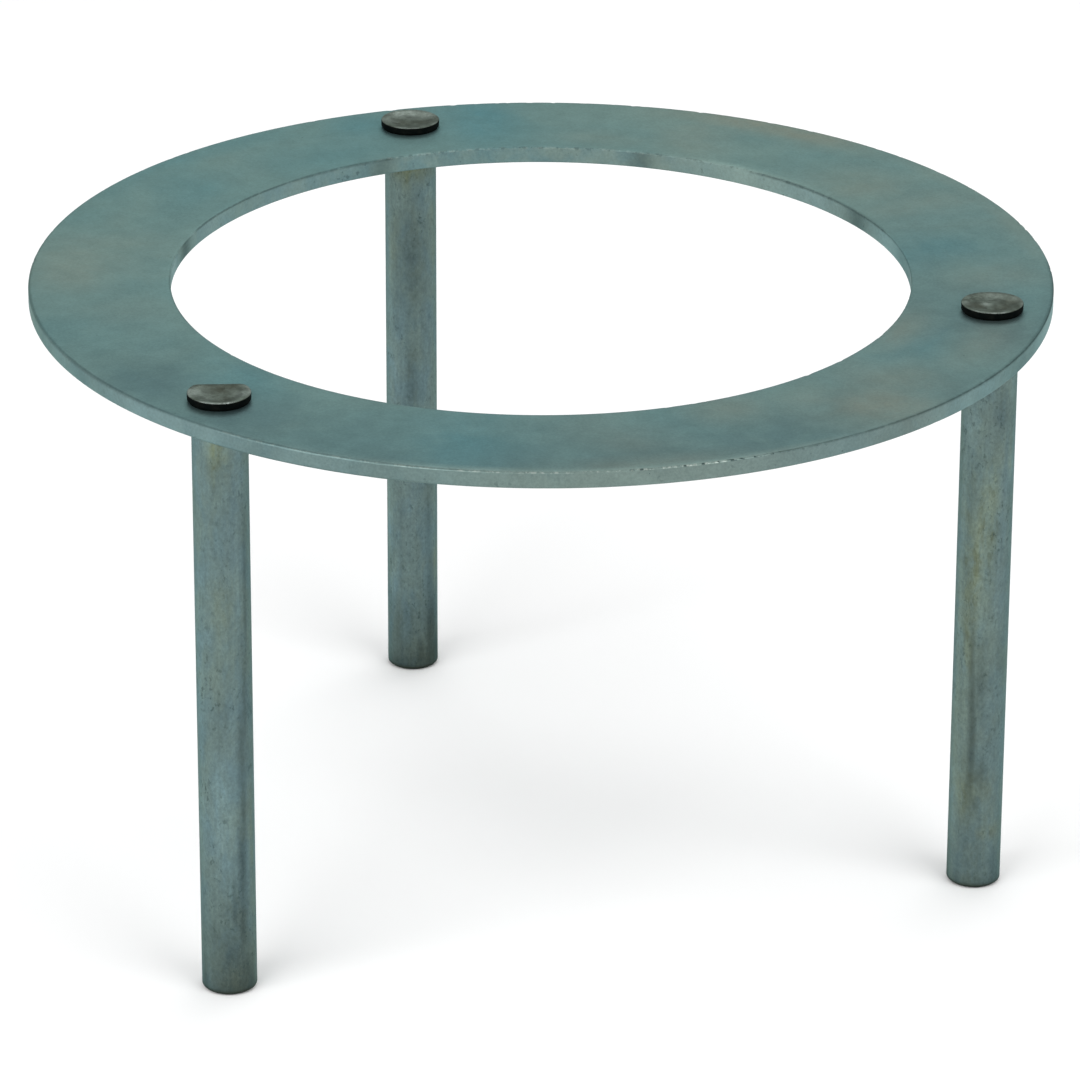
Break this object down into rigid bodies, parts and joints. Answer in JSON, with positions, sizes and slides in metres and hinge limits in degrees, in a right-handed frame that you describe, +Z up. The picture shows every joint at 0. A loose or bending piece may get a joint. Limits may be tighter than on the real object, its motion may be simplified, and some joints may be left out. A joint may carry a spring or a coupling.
{
  "type": "propane burner stand",
  "caption": "Flat round zinc-plated steel ring on three straight round bar legs, each held by a low-headed screw, for standing a pot over a propane burner.",
  "frame": {"origin": "on the floor, on the axis of the ring", "axes": "+Z up along the axis of the ring; +Y from the axis towards leg_back; leg_left is towards -X and leg_right towards +X, both in front (-Y)"},
  "size_m": [0.3, 0.3, 0.1855],
  "materials": {
    "zinc_plate": "blue-passivated zinc plate on flat steel plate, soft matte, mottled blue, green and pinkish brown",
    "zinc_plated_bar": "blue-passivated zinc plate on round bar, satin, with yellowish stains and fine dark specks",
    "dark_steel": "dark uncoated steel, nearly black at the sides, worn brighter on the rims of the heads"
  },
  "bodies": {
    "root": {"ring_plate": "zinc_plate", "leg_back": "zinc_plated_bar", "washer_back": "dark_steel", "screw_back": "dark_steel", "leg_left": "zinc_plated_bar", "washer_left": "dark_steel", "screw_left": "dark_steel", "leg_right": "zinc_plated_bar", "washer_right": "dark_steel", "screw_right": "dark_steel"}
  },
  "joints": []
}
